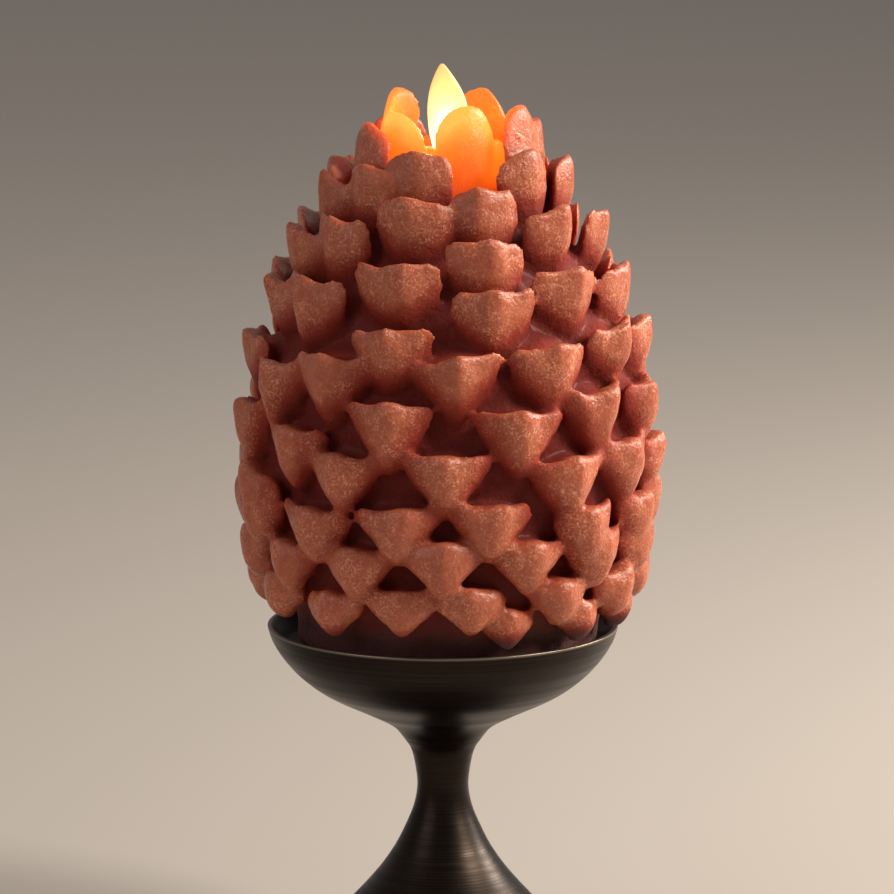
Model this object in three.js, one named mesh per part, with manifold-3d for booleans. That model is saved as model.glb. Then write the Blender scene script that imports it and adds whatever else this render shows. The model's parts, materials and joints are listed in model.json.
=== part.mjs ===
// Pedestal pillar-candle holder with a pinecone-shaped, moving-flame LED candle standing in its dish.
// Millimetres, +Z up. The origin is the middle of the felt underside; -Y is the front.

import * as THREE from "three";
import { mergeVertices } from "three/addons/utils/BufferGeometryUtils.js";
import Module from "manifold-3d";

const wasm = await Module();
wasm.setup();

// ---------------------------------------------------------------- driving dimensions

const GAP = 0.3; // between pieces that touch
const HIGH = 300; // above everything, for cutting tools

// holder
const RIM_HEIGHT = 100; // top of the dish rim above the table
const RIM_RADIUS = 51;
const LIP = 1.3; // width of the rim's flat top
const FLOOR_DEPTH = 6; // dish floor below the rim
const FLOOR_RADIUS = 45.8;
const SEAM_HEIGHT = 66.5; // where the dish boss meets the stem
const SEAM_RADIUS = 11.4;
const NECK_RADIUS = 7.45;
const NECK_HEIGHT = 52;
const FOOT_RADIUS = 48;
const PAD_RADIUS = 46;
const PAD_THICKNESS = 2;
const ROD_RADIUS = 3;
const ROD_CLEARANCE = 0.35;
const CLAMP_HEIGHT = 24; // seat of the washer inside the foot
const WASHER_RADIUS = 8.5;
const WASHER_THICKNESS = 1.6;
const NUT_HEIGHT = 5;
const NUT_RADIUS = 5.8; // across corners, halved

// candle
const CANDLE_SHIFT = 1.5; // the candle stands a little to the right in the dish
const SKIRT_RADIUS = 43.5; // smooth wax below the scales
const WAX_BOTTOM = 1.2; // above the dish floor
const CROWN_HEIGHT = 141; // top of the plain wax under the crown of petals, above the rim
const CROWN_SEAT = 118; // the crown stands in a bore of the cone from here up, above the rim
const CROWN_RADIUS = 20; // of its seat
const PETAL_REACH = 22; // of the petals, from the candle's axis
const CONE_HEIGHT = 136; // top of the plain wax of the cone, above the rim
const LINER_RADIUS = 26;
const LINER_WALL = 1.6;
const LINER_SHOULDER = 190; // where the liner begins to narrow
const NECK_TUBE_RADIUS = 13.2;
const NECK_TUBE_START = 212;
const NECK_TUBE_TOP = 236;
const FLANGE_RADIUS = 37;
const PLATE_RADIUS = 39.5;
const PLATE_THICKNESS = 2;
const FOOT_HEIGHT = 1.6; // rubber feet under the candle
const WELL_RADIUS = 12.6; // mouth of the flame well in the wax
const DOOR_RADIUS = 20;
const SCREW_CIRCLE = 31.5;
const SWITCH_Y = 29.5;
const SWITCH_TRAVEL = 4;
const CELL_RADIUS = 7.15;
const CELL_LENGTH = 50;
const CELL_OFFSET = 8.1;
const FLAME_PIVOT = 229; // height of the pin that the flame leaf hangs on
const FLAME_TOP = 264;
const FLAME_HALF_WIDTH = 6;
const LEAF_THICKNESS = 1.2;
const MAGNET_LENGTH = 3.4; // heavy enough to hold the leaf upright

// scales, bottom row first: tip height above the rim, scales in a full turn, azimuth of the first
// (0 is the front, positive to the right), how many are present, and the hand-set unevenness of
// the first ones as [azimuth shift, lift]; the last row is the crown's petals
const ROWS = [
  { height: 13, perTurn: 13, turn: 20, present: 9, uneven: [] },
  { height: 19, perTurn: 14, turn: -65, present: 14, uneven: [[0, 0], [0, -2], [-1, 0], [-5, 1], [-1, 2], [0, 2]] },
  { height: 32, perTurn: 14, turn: -55, present: 14, uneven: [[0, -2], [1, -1], [2, 2], [2, 1]] },
  { height: 42, perTurn: 13, turn: -70, present: 13, uneven: [[0, -1], [0, -1], [0, 1], [-1, 2], [3, -1]] },
  { height: 57, perTurn: 11, turn: -65, present: 11,
    uneven: [[-7, -8], [0, 0], [-1, 1], [4, -1], [-4, 1], [-8, -7]] },
  { height: 71, perTurn: 11, turn: -84, present: 11,
    uneven: [[4, -5], [1, -8], [1, 2], [7, -1], [2, 3], [-2, 1]] },
  { height: 86, perTurn: 11, turn: -97, present: 11,
    uneven: [[8, -2], [2, -6], [-7, -1], [2, 0], [-1, 2], [-3, 4], [-8, 2]] },
  { height: 103, perTurn: 11, turn: -83, present: 11,
    uneven: [[7, -1], [-3, 2], [-1, -10], [1, 1], [0, 5], [2, 2]] },
  { height: 118, perTurn: 10, turn: -90, present: 10,
    uneven: [[14, -1], [4, 4], [-1, -7], [-3, 0], [-3, 7], [3, 1]] },
  { height: 132, perTurn: 10, turn: -88, present: 10,
    uneven: [[12, 1], [8, 5], [0, -3], [-3, 0], [-5, 9], [3, 4]] },
  { height: 147, perTurn: 6, turn: 99, present: 5, uneven: [[0, 0], [0, 0], [0, 0], [0, 1], [2, -5]] },
  { height: 154, perTurn: 5, turn: 15, present: 5, uneven: [], petals: true },
];

// shape of a scale by the height of its tip: distance of the tip from the candle's axis, lean of the
// scale above the horizontal in degrees, width, length and thickness
const STATIONS = [
  { height: 0, radius: 49, lean: 22, width: 17, length: 17, thick: 6 },
  { height: 19, radius: 57, lean: 34, width: 22, length: 20, thick: 7 },
  { height: 42, radius: 61.5, lean: 42, width: 25, length: 23, thick: 7 },
  { height: 66, radius: 62, lean: 52, width: 27, length: 25, thick: 6.5 },
  { height: 90, radius: 57.5, lean: 61, width: 27, length: 28, thick: 6.5 },
  { height: 118, radius: 47, lean: 69, width: 25, length: 29, thick: 6 },
  { height: 134, radius: 36, lean: 73, width: 23, length: 28, thick: 5.5 },
  { height: 147, radius: 26, lean: 80, width: 19, length: 25, thick: 4.5 },
  { height: 158, radius: 15, lean: 92, width: 15, length: 22, thick: 4 },
];

// plain wax under the scales: height above the rim and radius
const CORE = [
  [1.5, 43.5], [6, 43.5], [16, 46], [34, 49.5], [55, 50], [80, 46.5], [103, 39], [122, 30], [134, 24],
  [CONE_HEIGHT, 22.8],
];

// ---------------------------------------------------------------- materials

function finish(colour, roughness, metalness = 0) {
  return new THREE.MeshStandardMaterial({ color: colour, roughness, metalness });
}

const BRONZE = { color: 0x2b2521, roughness: 0.42, metalness: 0.85 };
const WAX = { color: 0xa5583f, roughness: 0.5, metalness: 0 };
const STEEL = { color: 0x9a9a98, roughness: 0.35, metalness: 1 };
const FELT = { color: 0x1c1b1a, roughness: 0.95, metalness: 0 };
const WHITE_PLASTIC = { color: 0xdcd5c8, roughness: 0.5, metalness: 0 };
const BLACK_PLASTIC = { color: 0x1d1d1f, roughness: 0.5, metalness: 0 };
const FLAME = { color: 0xffe7a8, roughness: 0.4, metalness: 0 };
const COPPER = { color: 0xb06a38, roughness: 0.35, metalness: 1 };
const BOARD = { color: 0x1f5a36, roughness: 0.5, metalness: 0 };
const CELL = { color: 0x4a4d52, roughness: 0.4, metalness: 0.5 };
const RUBBER = { color: 0x2a2a2a, roughness: 0.9, metalness: 0 };
const LENS = { color: 0xfff1cf, roughness: 0.15, metalness: 0 };
const RED_WIRE = { color: 0x9c1f1a, roughness: 0.5, metalness: 0 };
const MAGNET = { color: 0x8d9094, roughness: 0.25, metalness: 1 };

const holder = new THREE.Group();
const candle = new THREE.Group();
candle.position.x = CANDLE_SHIFT;
const object = new THREE.Group();
object.add(holder, candle);

function place(group, name, geometry, look, position = [0, 0, 0], rotation = [0, 0, 0]) {
  const mesh = new THREE.Mesh(geometry, finish(look.color, look.roughness, look.metalness));
  mesh.name = name;
  mesh.position.set(...position);
  mesh.rotation.set(...rotation);
  group.add(mesh);
  return mesh;
}

// ---------------------------------------------------------------- shape helpers

// turned solid about Z from [radius, height] points that start and end on the axis or close on themselves
function turned(points, segments = 40) {
  const geometry = new THREE.LatheGeometry(points.map(([r, z]) => new THREE.Vector2(r, z)), segments);
  return geometry.rotateX(Math.PI / 2);
}

// flat outline raised along Z
function raised(shape, bottom, top, curveSegments = 16) {
  const options = { depth: top - bottom, bevelEnabled: false, curveSegments };
  return new THREE.ExtrudeGeometry(shape, options).translate(0, 0, bottom);
}

function disc(radius, x = 0, y = 0) {
  return new THREE.Shape().absarc(x, y, radius, 0, 2 * Math.PI, false);
}

function hole(radius, x = 0, y = 0) {
  return new THREE.Path().absarc(x, y, radius, 0, 2 * Math.PI, true);
}

function block(x0, x1, y0, y1, z0, z1) {
  const box = new THREE.BoxGeometry(x1 - x0, y1 - y0, z1 - z0);
  return box.translate((x0 + x1) / 2, (y0 + y1) / 2, (z0 + z1) / 2);
}

function ring(inner, outer, bottom, top, segments = 32) {
  return turned([[inner, bottom], [outer, bottom], [outer, top], [inner, top], [inner, bottom]], segments);
}

function rod(radius, bottom, top, segments = 20) {
  return turned([[0, bottom], [radius, bottom], [radius, top], [0, top]], segments);
}

// round wire along a smooth curve through points
function wire(points, radius, steps, sides = 8) {
  const path = new THREE.CatmullRomCurve3(points.map((p) => new THREE.Vector3(...p)));
  const section = new THREE.Shape();
  for (let i = 0; i < sides; i += 1) {
    const angle = (2 * Math.PI * i) / sides;
    const x = radius * Math.cos(angle);
    const y = radius * Math.sin(angle);
    if (i === 0) section.moveTo(x, y);
    else section.lineTo(x, y);
  }
  return new THREE.ExtrudeGeometry(section, { steps, bevelEnabled: false, extrudePath: path });
}

function toSolid(geometry) {
  const bare = new THREE.BufferGeometry();
  bare.setAttribute("position", geometry.getAttribute("position").clone());
  if (geometry.index) bare.setIndex(geometry.index.clone());
  const merged = mergeVertices(bare, 1e-4);
  const vertProperties = new Float32Array(merged.getAttribute("position").array);
  const corners = [];
  const index = merged.index.array;
  for (let i = 0; i < index.length; i += 3) {
    const [a, b, c] = [index[i], index[i + 1], index[i + 2]];
    if (a !== b && b !== c && c !== a) corners.push(a, b, c);
  }
  const triVerts = new Uint32Array(corners);
  return new wasm.Manifold(new wasm.Mesh({ numProp: 3, vertProperties, triVerts }));
}

function toGeometry(solid) {
  const mesh = solid.getMesh();
  const geometry = new THREE.BufferGeometry();
  geometry.setAttribute("position", new THREE.BufferAttribute(mesh.vertProperties, 3));
  geometry.setIndex(new THREE.BufferAttribute(mesh.triVerts, 1));
  geometry.computeVertexNormals();
  return geometry;
}

// base with every tool cut away
function cut(base, ...tools) {
  return toGeometry(tools.reduce((solid, tool) => solid.subtract(toSolid(tool)), toSolid(base)));
}

function joined(...pieces) {
  return toGeometry(pieces.map(toSolid).reduce((whole, piece) => whole.add(piece)));
}

// smooth outline through [radius, height] points
function smooth(points, steps) {
  const curve = new THREE.SplineCurve(points.map(([r, z]) => new THREE.Vector2(r, z)));
  return curve.getPoints(steps).map((p) => [p.x, p.y]);
}

function lerp(a, b, t) {
  return a + (b - a) * t;
}

// ---------------------------------------------------------------- holder

function makeHolder() {
  const floor = RIM_HEIGHT - FLOOR_DEPTH;
  const bore = ROD_RADIUS + ROD_CLEARANCE;
  const bowl = smooth([
    [SEAM_RADIUS, SEAM_HEIGHT], [14.7, 70], [21.5, 73.8], [34.2, 80],
    [41.2, 85], [46, 90], [49.3, 95], [RIM_RADIUS - 0.4, 98.6],
  ], 11);
  place(holder, "dish", turned([
    [0, floor - 5], [bore, floor - 5], [bore, SEAM_HEIGHT],
    ...bowl,
    [RIM_RADIUS, RIM_HEIGHT - 0.5], [RIM_RADIUS - 0.5, RIM_HEIGHT], [RIM_RADIUS - LIP, RIM_HEIGHT],
    [FLOOR_RADIUS + 1, floor + 1.2], [FLOOR_RADIUS, floor], [0, floor],
  ], 48), BRONZE);

  const wall = 3.2;
  const stem = smooth([
    [SEAM_RADIUS, SEAM_HEIGHT - GAP], [9.3, 63], [8.05, 58], [NECK_RADIUS, NECK_HEIGHT], [8.5, 46], [10.9, 40],
    [13.9, 34], [17.9, 28], [22.9, 22], [28.6, 16], [35, 10], [41.5, 5.8], [FOOT_RADIUS - 0.4, 4.2],
  ], 16);
  const seat = CLAMP_HEIGHT;
  place(holder, "pedestal", turned([
    [bore, SEAM_HEIGHT - GAP],
    ...stem,
    [FOOT_RADIUS, 4], [FOOT_RADIUS, PAD_THICKNESS + GAP], [FOOT_RADIUS - wall, PAD_THICKNESS + GAP],
    [34, 6], [24, 14], [16.5, seat - 2], [10.5, seat], [bore, seat], [bore, SEAM_HEIGHT - GAP],
  ].reverse(), 48), BRONZE);

  place(holder, "base_pad", turned([
    [0, 0], [PAD_RADIUS - 0.4, 0], [PAD_RADIUS, 0.4], [PAD_RADIUS, PAD_THICKNESS], [0, PAD_THICKNESS],
  ], 48), FELT);

  const washerTop = seat - GAP;
  const washerBottom = washerTop - WASHER_THICKNESS;
  const nutTop = washerBottom - GAP;
  const nutBottom = nutTop - NUT_HEIGHT;
  place(holder, "tie_rod", rod(ROD_RADIUS, nutBottom - 2, floor - 5 - GAP, 16), STEEL);
  place(holder, "rod_washer", ring(bore, WASHER_RADIUS, washerBottom, washerTop, 24), STEEL);
  const hexagon = new THREE.Shape();
  for (let i = 0; i < 6; i += 1) {
    const angle = (Math.PI * i) / 3;
    const corner = [NUT_RADIUS * Math.cos(angle), NUT_RADIUS * Math.sin(angle)];
    if (i === 0) hexagon.moveTo(...corner);
    else hexagon.lineTo(...corner);
  }
  hexagon.holes.push(hole(bore));
  place(holder, "rod_nut", raised(hexagon, nutBottom, nutTop, 8), STEEL);
}

// ---------------------------------------------------------------- wax cone

// linear mix of the two stations around a tip height
function stationAt(height) {
  const last = STATIONS.length - 2;
  const found = STATIONS.findIndex((station, i) => i <= last && height <= STATIONS[i + 1].height);
  const i = found < 0 ? last : found;
  const low = STATIONS[i];
  const high = STATIONS[i + 1];
  const t = (height - low.height) / (high.height - low.height);
  const mix = {};
  for (const key of Object.keys(low)) mix[key] = lerp(low[key], high[key], t);
  return mix;
}

// closed solid from rings of points that all have the same count, with flat ends
function loft(rings) {
  const count = rings[0].length;
  const positions = rings.flat().flatMap((p) => [p.x, p.y, p.z]);
  const index = [];
  for (let k = 0; k + 1 < rings.length; k += 1) {
    for (let i = 0; i < count; i += 1) {
      const a = k * count + i;
      const b = k * count + ((i + 1) % count);
      index.push(a, b, a + count, b, b + count, a + count);
    }
  }
  const lastRing = (rings.length - 1) * count;
  for (let i = 1; i + 1 < count; i += 1) {
    index.push(0, i + 1, i);
    index.push(lastRing, lastRing + i, lastRing + i + 1);
  }
  const geometry = new THREE.BufferGeometry();
  geometry.setAttribute("position", new THREE.Float32BufferAttribute(positions, 3));
  geometry.setIndex(index);
  return geometry;
}

// one scale: a keeled shield that widens from its root to a three-lobed edge
function scaleSolid(azimuth, tipHeight) {
  const shape = stationAt(tipHeight);
  const angle = THREE.MathUtils.degToRad(azimuth);
  const lean = THREE.MathUtils.degToRad(shape.lean);
  const out = new THREE.Vector3(Math.sin(angle), -Math.cos(angle), 0);
  const side = new THREE.Vector3(Math.cos(angle), Math.sin(angle), 0);
  const up = new THREE.Vector3(0, 0, 1);
  const along = out.clone().multiplyScalar(Math.cos(lean)).addScaledVector(up, Math.sin(lean));
  const face = out.clone().multiplyScalar(Math.sin(lean)).addScaledVector(up, -Math.cos(lean));
  const tip = out.clone().multiplyScalar(shape.radius).addScaledVector(up, RIM_HEIGHT + tipHeight);
  tip.addScaledVector(face, -shape.thick * 0.3);
  // [part of the length, part of the width, part of the thickness]
  const sections = [[0, 0.5, 1.15], [1, 1, 0.7]];
  const across = [-1, -0.5, 0, 0.5, 1];
  const lobes = [-0.18, -0.1, 0, -0.1, -0.18]; // edge set back from the tip, as parts of the length
  const rings = sections.map(([s, wide, deep]) => {
    const point = (v, depth) => {
      const edge = s * lobes[across.indexOf(v)];
      const p = tip.clone().addScaledVector(along, shape.length * (s - 1 + edge));
      p.addScaledVector(side, (v * wide * shape.width) / 2);
      return p.addScaledVector(face, depth * deep * shape.thick);
    };
    const outer = across.map((v) => point(v, 0.5 * (1 - v * v)));
    const inner = [0.5, 0, -0.5].map((v) => point(v, -0.5 * (1 - v * v)));
    return [...outer, ...inner];
  });
  return toSolid(loft(rings));
}

// the shape that the liner, its flange and the base plate take out of the wax
function waxHollow() {
  const plateTop = RIM_HEIGHT - FLOOR_DEPTH + 4.6;
  return turned([
    [0, 80], [PLATE_RADIUS + GAP, 80], [PLATE_RADIUS + GAP, plateTop], [FLANGE_RADIUS + GAP, plateTop + 0.2],
    [FLANGE_RADIUS + GAP, plateTop + 2.6], [LINER_RADIUS + GAP, plateTop + 3],
    [LINER_RADIUS + GAP, LINER_SHOULDER + GAP], [NECK_TUBE_RADIUS + GAP, NECK_TUBE_START + GAP],
    [NECK_TUBE_RADIUS + GAP, NECK_TUBE_TOP + 2.6], [WELL_RADIUS, NECK_TUBE_TOP + 3.4], [WELL_RADIUS, HIGH], [0, HIGH],
  ], 32);
}

// room over the flange for the body of the switch
function switchPocket() {
  return block(-6.5, 6.5, SWITCH_Y - 3.7, SWITCH_Y + 3.7, RIM_HEIGHT, RIM_HEIGHT + 4.4);
}

function makeWax() {
  const bottom = RIM_HEIGHT - FLOOR_DEPTH + WAX_BOTTOM;
  const core = CORE.map(([z, r]) => [r, RIM_HEIGHT + z]);
  const cone = [toSolid(turned([
    [0, bottom], [SKIRT_RADIUS - 1, bottom], [SKIRT_RADIUS, bottom + 1], ...core, [0, RIM_HEIGHT + CONE_HEIGHT],
  ], 32))];
  const seat = RIM_HEIGHT + CROWN_SEAT;
  const top = RIM_HEIGHT + CROWN_HEIGHT;
  const crown = [toSolid(turned([
    [0, seat], [CROWN_RADIUS, seat], [CROWN_RADIUS, RIM_HEIGHT + CONE_HEIGHT], [CROWN_RADIUS - 3, top], [0, top],
  ], 32))];
  for (const row of ROWS) {
    for (let k = 0; k < row.present; k += 1) {
      const [shift, lift] = row.uneven[k] ?? [0, 0];
      const scale = scaleSolid(row.turn + (360 * k) / row.perTurn + shift, row.height + lift);
      if (row.petals) crown.push(scale.intersect(toSolid(rod(PETAL_REACH, seat, HIGH, 32))));
      else cone.push(scale);
    }
  }
  const hollow = toSolid(waxHollow());
  const union = (solids) => solids.reduce((whole, solid) => whole.add(solid)).subtract(hollow);
  const bore = turned([
    [0, seat - GAP], [CROWN_RADIUS + GAP, seat - GAP], [CROWN_RADIUS + GAP, RIM_HEIGHT + CONE_HEIGHT],
    [PETAL_REACH + GAP, RIM_HEIGHT + CONE_HEIGHT], [PETAL_REACH + GAP, HIGH], [0, HIGH],
  ], 32);
  const shell = union(cone).subtract(toSolid(bore)).subtract(toSolid(switchPocket()));
  place(candle, "wax_cone", toGeometry(shell), WAX);
  place(candle, "wax_crown", toGeometry(union(crown)), WAX);
}

// ---------------------------------------------------------------- inside the candle

const CANDLE_FLOOR = RIM_HEIGHT - FLOOR_DEPTH;
const PLATE_BOTTOM = CANDLE_FLOOR + GAP + FOOT_HEIGHT + GAP;
const PLATE_TOP = PLATE_BOTTOM + PLATE_THICKNESS;
const FLANGE_BOTTOM = PLATE_TOP + GAP;
const FLANGE_TOP = FLANGE_BOTTOM + 2;
const TRAY_BOTTOM = FLANGE_TOP + 1;
const CELL_BOTTOM = TRAY_BOTTOM + 1.2;
const CELL_TOP = CELL_BOTTOM + CELL_LENGTH;
const TRAY_TOP = CELL_TOP + 1.5;
const BOARD_HEIGHT = TRAY_TOP + 9;

function around(count, radius, turn) {
  return Array.from({ length: count }, (_, i) => {
    const angle = THREE.MathUtils.degToRad(turn + (360 * i) / count);
    return [radius * Math.cos(angle), radius * Math.sin(angle)];
  });
}

const SCREW_PLACES = around(3, SCREW_CIRCLE, 30);
const FOOT_PLACES = around(3, SCREW_CIRCLE, 0);

function makeLiner() {
  const inner = LINER_RADIUS - LINER_WALL;
  const neck = NECK_TUBE_RADIUS - LINER_WALL;
  const shell = turned([
    [inner, FLANGE_BOTTOM], [FLANGE_RADIUS, FLANGE_BOTTOM], [FLANGE_RADIUS, FLANGE_TOP],
    [LINER_RADIUS, FLANGE_TOP], [LINER_RADIUS, LINER_SHOULDER], [NECK_TUBE_RADIUS, NECK_TUBE_START],
    [NECK_TUBE_RADIUS, NECK_TUBE_TOP], [neck, NECK_TUBE_TOP], [neck, NECK_TUBE_START],
    [inner, LINER_SHOULDER], [inner, FLANGE_BOTTOM],
  ], 32);
  const windows = [block(-8, 8, SWITCH_Y - 4, SWITCH_Y + 4, FLANGE_BOTTOM - 1, FLANGE_TOP + 5)];
  for (const [x, y] of SCREW_PLACES) windows.push(rod(1.5, FLANGE_BOTTOM - 1, FLANGE_TOP + 1, 12).translate(x, y, 0));
  place(candle, "liner", cut(shell, ...windows), WHITE_PLASTIC);

  const capShape = disc(NECK_TUBE_RADIUS);
  const slot = new THREE.Path();
  const halfLength = FLAME_HALF_WIDTH + 1;
  const halfWidth = 1.8;
  slot.moveTo(-halfLength, -halfWidth);
  slot.lineTo(-halfLength, halfWidth);
  slot.lineTo(halfLength, halfWidth);
  slot.lineTo(halfLength, -halfWidth);
  slot.lineTo(-halfLength, -halfWidth);
  capShape.holes.push(slot);
  place(candle, "well_cap", raised(capShape, NECK_TUBE_TOP + GAP, NECK_TUBE_TOP + 2 + GAP, 16), WHITE_PLASTIC);
}

function makeUnderside() {
  const plateShape = disc(PLATE_RADIUS);
  plateShape.holes.push(hole(DOOR_RADIUS + GAP));
  for (const [x, y] of SCREW_PLACES) plateShape.holes.push(hole(1.5, x, y));
  const slot = new THREE.Path();
  const reach = SWITCH_TRAVEL / 2 + 2;
  slot.moveTo(-reach, SWITCH_Y - 1.8);
  slot.lineTo(-reach, SWITCH_Y + 1.8);
  slot.lineTo(reach, SWITCH_Y + 1.8);
  slot.lineTo(reach, SWITCH_Y - 1.8);
  slot.lineTo(-reach, SWITCH_Y - 1.8);
  plateShape.holes.push(slot);
  place(candle, "base_plate", raised(plateShape, PLATE_BOTTOM, PLATE_TOP, 18), BLACK_PLASTIC);

  FOOT_PLACES.forEach(([x, y], i) => {
    place(candle, `rubber_foot_${i + 1}`, rod(4, CANDLE_FLOOR + GAP, CANDLE_FLOOR + GAP + FOOT_HEIGHT, 16), RUBBER,
      [x, y, 0]);
  });
  SCREW_PLACES.forEach(([x, y], i) => {
    const head = PLATE_BOTTOM - GAP;
    const screw = turned([
      [0, head - 1.2], [2.1, head - 1.2], [2.6, head - 0.6], [2.6, head], [1.1, head],
      [1.1, FLANGE_TOP - 0.4], [0, FLANGE_TOP + 0.3],
    ], 14);
    place(candle, `base_screw_${i + 1}`, screw, STEEL, [x, y, 0]);
  });

  const doorTop = PLATE_TOP + GAP + 1.2;
  const collar = turned([
    [0, PLATE_BOTTOM], [DOOR_RADIUS, PLATE_BOTTOM], [DOOR_RADIUS, doorTop], [0, doorTop],
  ], 40);
  const lugs = block(-DOOR_RADIUS - 2.4, DOOR_RADIUS + 2.4, -3, 3, PLATE_TOP + GAP, doorTop);
  const coinSlot = block(-8, 8, -1.2, 1.2, PLATE_BOTTOM - 1, PLATE_BOTTOM + 1);
  place(candle, "battery_door", cut(joined(collar, lugs), coinSlot), BLACK_PLASTIC);
  place(candle, "door_bridge", block(-14, 14, -3.5, 3.5, doorTop + GAP, doorTop + GAP + 0.5), STEEL);
}

function makeSwitch() {
  const bottom = PLATE_TOP + GAP;
  const housing = block(-6, 6, SWITCH_Y - 3.2, SWITCH_Y + 3.2, bottom, bottom + 5.5);
  const reach = SWITCH_TRAVEL / 2 + 2;
  const channel = block(-reach, reach, SWITCH_Y - 1.8, SWITCH_Y + 1.8, bottom - 1, bottom + 4);
  place(candle, "switch_body", cut(housing, channel), STEEL);
  const knobX = -SWITCH_TRAVEL / 2;
  place(candle, "switch_knob",
    block(knobX - 1.5, knobX + 1.5, SWITCH_Y - 1.4, SWITCH_Y + 1.4, PLATE_BOTTOM - 1, bottom + 3.4), WHITE_PLASTIC);
}

function makeCells() {
  const reach = CELL_OFFSET;
  const round = CELL_RADIUS + 2;
  const shape = new THREE.Shape();
  shape.moveTo(-reach, -round);
  shape.lineTo(reach, -round);
  shape.absarc(reach, 0, round, -Math.PI / 2, Math.PI / 2, false);
  shape.lineTo(-reach, round);
  shape.absarc(-reach, 0, round, Math.PI / 2, (3 * Math.PI) / 2, false);
  const bore = CELL_RADIUS + 0.4;
  shape.holes.push(hole(bore, -reach), hole(bore, reach));
  place(candle, "battery_tray", raised(shape, TRAY_BOTTOM, TRAY_TOP, 14), BLACK_PLASTIC);

  const nub = 2.6;
  const cell = [
    [0, 0], [CELL_RADIUS - 0.8, 0], [CELL_RADIUS, 0.8], [CELL_RADIUS, CELL_LENGTH - 2],
    [CELL_RADIUS - 0.8, CELL_LENGTH - 1.2], [nub, CELL_LENGTH - 1.2], [nub, CELL_LENGTH], [0, CELL_LENGTH],
  ];
  place(candle, "battery_1", turned(cell, 24), CELL, [-reach, 0, CELL_BOTTOM]);
  place(candle, "battery_2", turned(cell, 24), CELL, [reach, 0, CELL_TOP], [Math.PI, 0, 0]);

  // one lid carries both upper contacts
  place(candle, "tray_lid", block(-16, 16, -8, 8, TRAY_TOP + 2.6, TRAY_TOP + 4.1), BLACK_PLASTIC);
  place(candle, "contact_plate", block(-12, -5, -3.5, 3.5, TRAY_TOP + 1.9, TRAY_TOP + 2.3), STEEL);
  const turns = 3;
  const steps = 30;
  const low = CELL_TOP + 0.6;
  const high = TRAY_TOP + 2;
  const coil = Array.from({ length: steps + 1 }, (_, i) => {
    const t = i / steps;
    const angle = 2 * Math.PI * turns * t;
    const radius = lerp(2, 5, t);
    return [reach + radius * Math.cos(angle), radius * Math.sin(angle), lerp(low, high, t)];
  });
  place(candle, "contact_spring", wire(coil, 0.25, 42, 6), STEEL);
}

function makeElectronics() {
  place(candle, "circuit_board", raised(disc(20), BOARD_HEIGHT, BOARD_HEIGHT + 1.6, 16), BOARD);
  const top = BOARD_HEIGHT + 1.6 + GAP;
  place(candle, "timer_chip", block(-5, 5, -9, -2, top, top + 2), BLACK_PLASTIC);
  place(candle, "capacitor", rod(3.2, top, top + 8, 16), CELL, [9, 7, 0]);

  // electromagnet under the flame's magnet, on a deck that stands in the narrowing of the liner
  const deckTop = 200;
  const notch = block(-5, 5, 11, 20, deckTop - 3, deckTop + 1); // the leads pass here
  place(candle, "deck", cut(ring(2.2, 17, deckTop - 2, deckTop, 32), notch), WHITE_PLASTIC);
  const spool = turned([
    [1.6, deckTop + GAP], [6, deckTop + GAP], [6, deckTop + 1.3], [3, deckTop + 1.3], [3, deckTop + 8],
    [6, deckTop + 8], [6, deckTop + 9], [1.6, deckTop + 9], [1.6, deckTop + GAP],
  ], 24);
  place(candle, "coil_bobbin", spool, WHITE_PLASTIC);
  place(candle, "coil_winding", ring(3 + GAP, 5.6, deckTop + 1.6, deckTop + 7.7, 24), COPPER);
  place(candle, "coil_core", rod(1.3, deckTop - 1, deckTop + 9, 12), STEEL);

  // lamp beside the leaf, aimed up at it
  const lampY = 6.3;
  const lampZ = 222;
  place(candle, "led_holder", block(-3.2, 3.2, lampY - 0.6, lampY + 3.2, lampZ - 9, lampZ - 3.4), WHITE_PLASTIC);
  const lens = turned([[0, -3], [1.6, -3], [1.6, 1], [1.2, 2], [0.5, 2.6], [0, 2.7]], 14);
  place(candle, "led", lens, LENS, [0, lampY + 0.8, lampZ], [THREE.MathUtils.degToRad(18), 0, 0]);

  const leadStart = BOARD_HEIGHT + 1.6 + GAP;
  const leads = { lead_red: [2.5, RED_WIRE], lead_black: [-2.5, BLACK_PLASTIC] };
  for (const [name, [x, look]] of Object.entries(leads)) {
    const path = [[x, 14, leadStart], [x * 1.4, 17, leadStart + 10], [x * 1.4, 19.6, 188],
      [x, 14.6, 200], [x * 0.7, 9.6, 207], [x * 0.55, 7.6, 212.2]];
    place(candle, name, wire(path, 0.6, 16, 6), look);
  }
}

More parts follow.
